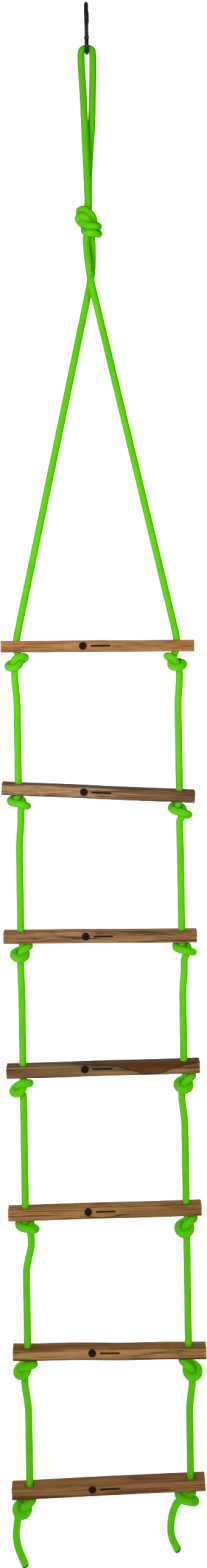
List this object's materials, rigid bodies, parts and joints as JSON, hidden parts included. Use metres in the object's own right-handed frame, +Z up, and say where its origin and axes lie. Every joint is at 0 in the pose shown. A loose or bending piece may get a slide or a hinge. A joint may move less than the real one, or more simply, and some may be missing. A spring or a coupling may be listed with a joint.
{
  "type": "rope ladder",
  "caption": "Rope ladder: doubled rope over a snap hook, tied in a crown knot, its legs threaded through drilled wooden rungs that rest on knots.",
  "frame": {"origin": "the inside top of the hook's bow, where the ladder hangs", "axes": "+Z up, +X along the rungs, +Y through the ladder from front to back"},
  "size_m": [0.3051, 0.04, 2.4282],
  "materials": {
    "rope": "braided, matt",
    "wood": "stained, satin",
    "hook_steel": "dark plated, semi-gloss",
    "gate_steel": "dark plated, satin",
    "rivet_steel": "plain"
  },
  "bodies": {
    "hook": {"hook_body": "hook_steel", "gate_rivet": "rivet_steel"},
    "gate": {"hook_gate": "gate_steel", "gate_spring": "rivet_steel"},
    "loop": {"loop_rope": "rope"},
    "head": {"neck_rope_left": "rope", "neck_rope_right": "rope", "crown_knot": "rope", "leg_rope_left": "rope", "leg_rope_right": "rope", "rung_1": "wood", "knot_1_left": "rope", "knot_1_right": "rope"},
    "section_2": {"rope_2_left": "rope", "rope_2_right": "rope", "knot_2_left": "rope", "knot_2_right": "rope"},
    "rung_2": {"rung_2": "wood"},
    "section_3": {"rope_3_left": "rope", "rope_3_right": "rope", "knot_3_left": "rope", "knot_3_right": "rope"},
    "rung_3": {"rung_3": "wood"},
    "section_4": {"rope_4_left": "rope", "rope_4_right": "rope", "knot_4_left": "rope", "knot_4_right": "rope"},
    "rung_4": {"rung_4": "wood"},
    "section_5": {"rope_5_left": "rope", "rope_5_right": "rope", "knot_5_left": "rope", "knot_5_right": "rope"},
    "rung_5": {"rung_5": "wood"},
    "section_6": {"rope_6_left": "rope", "rope_6_right": "rope", "knot_6_left": "rope", "knot_6_right": "rope"},
    "rung_6": {"rung_6": "wood"},
    "section_7": {"rope_7_left": "rope", "rope_7_right": "rope", "knot_7_left": "rope", "knot_7_right": "rope"},
    "rung_7": {"rung_7": "wood"},
    "tail_left": {"tail_left": "rope"},
    "tail_right": {"tail_right": "rope"}
  },
  "joints": [
    {"name": "gate_swing", "type": "hinge", "parent": "hook", "child": "gate", "pos_m": [0, -0.01002, -0.052], "axis": [-1, 0, 0], "range_deg": [0, 32], "stiffness_Nm_per_rad": 0.02, "springref_deg": -17.19},
    {"name": "loop_swing", "type": "hinge", "parent": "hook", "child": "loop", "pos_m": [0, 0, -0.07], "axis": [0, 1, 0], "range_deg": [-30, 30]},
    {"name": "rope_twist", "type": "hinge", "parent": "loop", "child": "head", "pos_m": [0, 0, -0.1865], "axis": [0, 0, 1], "range_deg": [-90, 90], "stiffness_Nm_per_rad": 0.004},
    {"name": "fold_2", "type": "hinge", "parent": "head", "child": "section_2", "pos_m": [-0.125, 0, -1.03536], "axis": [0.9999, 0, -0.0105], "range_deg": [-45, 45]},
    {"name": "rung_2_lift", "type": "slide", "parent": "section_2", "child": "rung_2", "axis": [0, 0, 1], "range_m": [0, 0.12]},
    {"name": "fold_3", "type": "hinge", "parent": "section_2", "child": "section_3", "pos_m": [-0.125, 0, -1.2573], "axis": [0.9982, 0, -0.0592], "range_deg": [-45, 45]},
    {"name": "rung_3_lift", "type": "slide", "parent": "section_3", "child": "rung_3", "axis": [0, 0, 1], "range_m": [0, 0.12]},
    {"name": "fold_4", "type": "hinge", "parent": "section_3", "child": "section_4", "pos_m": [-0.125, 0, -1.48606], "axis": [1, 0, -0.0087], "range_deg": [-45, 45]},
    {"name": "rung_4_lift", "type": "slide", "parent": "section_4", "child": "rung_4", "axis": [0, 0, 1], "range_m": [0, 0.12]},
    {"name": "fold_5", "type": "hinge", "parent": "section_4", "child": "section_5", "pos_m": [-0.125, 0, -1.69455], "axis": [0.9999, 0, 0.014], "range_deg": [-45, 45]},
    {"name": "rung_5_lift", "type": "slide", "parent": "section_5", "child": "rung_5", "axis": [0, 0, 1], "range_m": [0, 0.12]},
    {"name": "fold_6", "type": "hinge", "parent": "section_5", "child": "section_6", "pos_m": [-0.125, 0, -1.91545], "axis": [0.9999, 0, 0.014], "range_deg": [-45, 45]},
    {"name": "rung_6_lift", "type": "slide", "parent": "section_6", "child": "rung_6", "axis": [0, 0, 1], "range_m": [0, 0.12]},
    {"name": "fold_7", "type": "hinge", "parent": "section_6", "child": "section_7", "pos_m": [-0.125, 0, -2.13176], "axis": [1, 0, -0.007], "range_deg": [-45, 45]},
    {"name": "rung_7_lift", "type": "slide", "parent": "section_7", "child": "rung_7", "axis": [0, 0, 1], "range_m": [0, 0.12]},
    {"name": "tail_left_fold", "type": "hinge", "parent": "section_7", "child": "tail_left", "pos_m": [-0.141, 0, -2.34659], "axis": [1, 0, 0], "range_deg": [-60, 60]},
    {"name": "tail_right_fold", "type": "hinge", "parent": "section_7", "child": "tail_right", "pos_m": [0.11, 0, -2.33874], "axis": [1, 0, 0], "range_deg": [-60, 60]}
  ]
}
